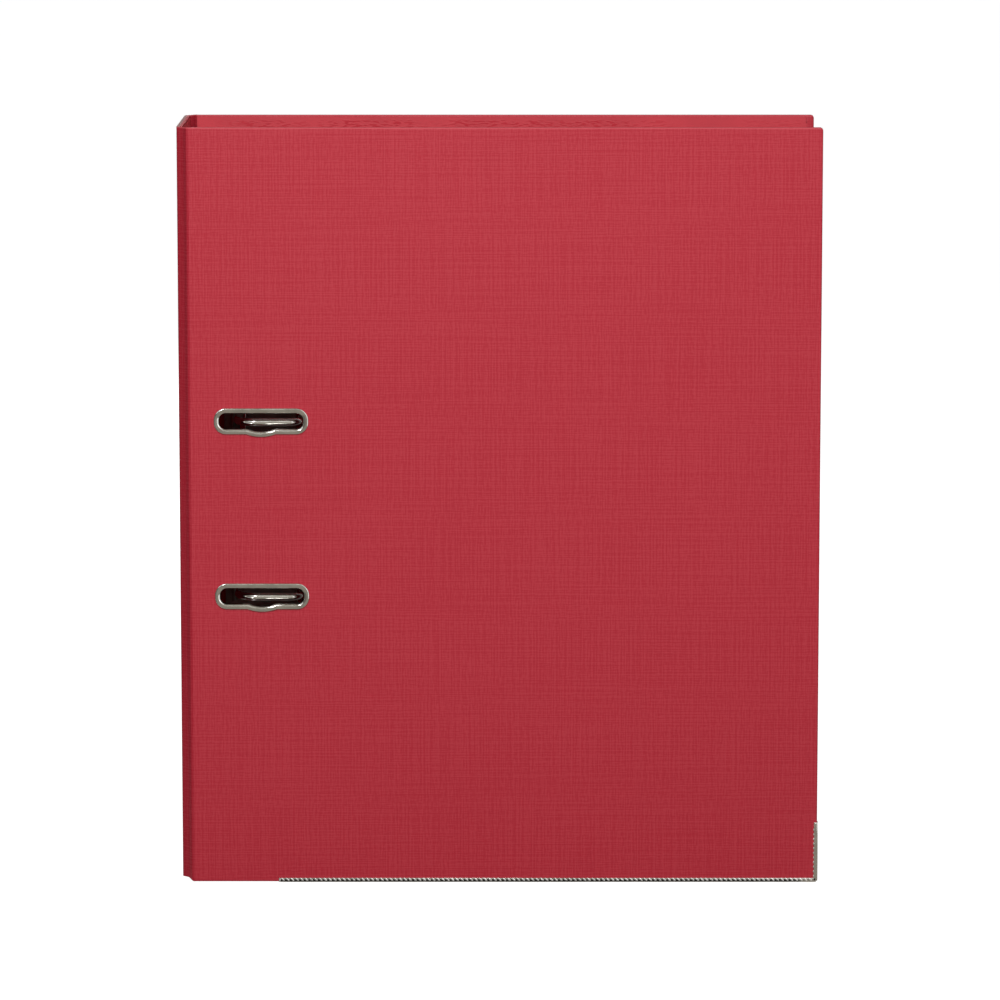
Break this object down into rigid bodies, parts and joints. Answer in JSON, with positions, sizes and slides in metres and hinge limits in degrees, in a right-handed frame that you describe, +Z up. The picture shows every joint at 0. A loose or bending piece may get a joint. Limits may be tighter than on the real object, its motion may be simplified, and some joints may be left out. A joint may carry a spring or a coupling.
{
  "type": "lever arch file",
  "caption": "Upright lever arch file: red linen-embossed covers on creased hinges, slotted front, toothed metal edge guards, and a ring mechanism with lever and paper compressor inside.",
  "frame": {"origin": "centre of the bounding box's underside, where the closed file stands on its edge guards", "axes": "+X from the spine to the fore-edge, +Y from the front cover to the back cover, +Z up along the spine"},
  "size_m": [0.2908, 0.0768, 0.345],
  "materials": {
    "covering": "linen-embossed red covering, satin",
    "lining": "smooth red lining paper",
    "hinge": "creased covering and lining, satin",
    "board": "grey board",
    "nickel": "nickel-plated sheet steel",
    "wire": "bright nickel-plated wire",
    "spring_steel": "oiled spring steel",
    "roller": "natural plastic",
    "catch": "black plastic"
  },
  "bodies": {
    "back_cover": {"back_board": "board", "back_covering": "covering", "back_lining": "lining", "back_edge_guard": "nickel", "base_plate": "nickel", "fixed_posts": "wire", "mechanism_rivets": "nickel", "lever_pivot_pin": "nickel", "bow_leaf_spring": "spring_steel"},
    "back_hinge": {"back_hinge_strip": "hinge"},
    "spine": {"spine_board": "board", "spine_covering": "covering", "spine_lining": "lining", "finger_ring": "nickel", "finger_ring_washer": "nickel"},
    "front_hinge": {"front_hinge_strip": "hinge"},
    "front_cover": {"front_board": "board", "front_covering": "covering", "front_lining": "lining", "front_edge_guard": "nickel", "upper_slot_eyelet": "nickel", "lower_slot_eyelet": "nickel"},
    "bow": {"arch_bow": "wire"},
    "lever": {"lever_arm": "nickel", "roller_pin": "nickel"},
    "roller": {"cam_roller": "roller"},
    "compressor": {"compressor_bar": "nickel", "catch_pin": "nickel"},
    "catch": {"compressor_catch": "catch"}
  },
  "joints": [
    {"name": "spine_fold", "type": "hinge", "parent": "back_cover", "child": "back_hinge", "pos_m": [-0.13955, 0.0372, 0.1725], "axis": [0, 0, -1], "range_deg": [0, 45]},
    {"name": "spine_crease", "type": "hinge", "parent": "back_hinge", "child": "spine", "pos_m": [-0.14425, 0.0325, 0.1725], "axis": [0, 0, -1], "range_deg": [0, 45]},
    {"name": "cover_swing", "type": "hinge", "parent": "spine", "child": "front_hinge", "pos_m": [-0.14425, -0.0325, 0.1725], "axis": [0, 0, -1], "range_deg": [0, 90]},
    {"name": "cover_crease", "type": "hinge", "parent": "front_hinge", "child": "front_cover", "pos_m": [-0.13955, -0.0372, 0.1725], "axis": [0, 0, -1], "range_deg": [0, 90]},
    {"name": "lever_swing", "type": "hinge", "parent": "back_cover", "child": "lever", "pos_m": [-0.09855, 0.0258, 0.1711], "axis": [0, 0, 1], "range_deg": [0, 85]},
    {"name": "bow_swing", "type": "hinge", "parent": "back_cover", "child": "bow", "pos_m": [-0.11855, 0.0306, 0.1711], "axis": [0, 0, -1], "range_deg": [0, 20]},
    {"name": "roller_spin", "type": "hinge", "parent": "lever", "child": "roller", "pos_m": [-0.10855, 0.026, 0.1711], "axis": [0, 0, 1], "continuous": true},
    {"name": "compressor_slide", "type": "slide", "parent": "back_cover", "child": "compressor", "axis": [0, -1, 0], "range_m": [0, 0.03]},
    {"name": "catch_press", "type": "hinge", "parent": "compressor", "child": "catch", "pos_m": [-0.08625, 0.0307, 0.2011], "axis": [1, 0, 0], "range_deg": [0, 8], "stiffness_Nm_per_rad": 0.02}
  ],
  "couplings": [
    {"joint": "spine_crease", "follows": "spine_fold", "ratio": 1},
    {"joint": "cover_crease", "follows": "cover_swing", "ratio": 1},
    {"joint": "bow_swing", "follows": "lever_swing", "ratio": 0.235}
  ]
}
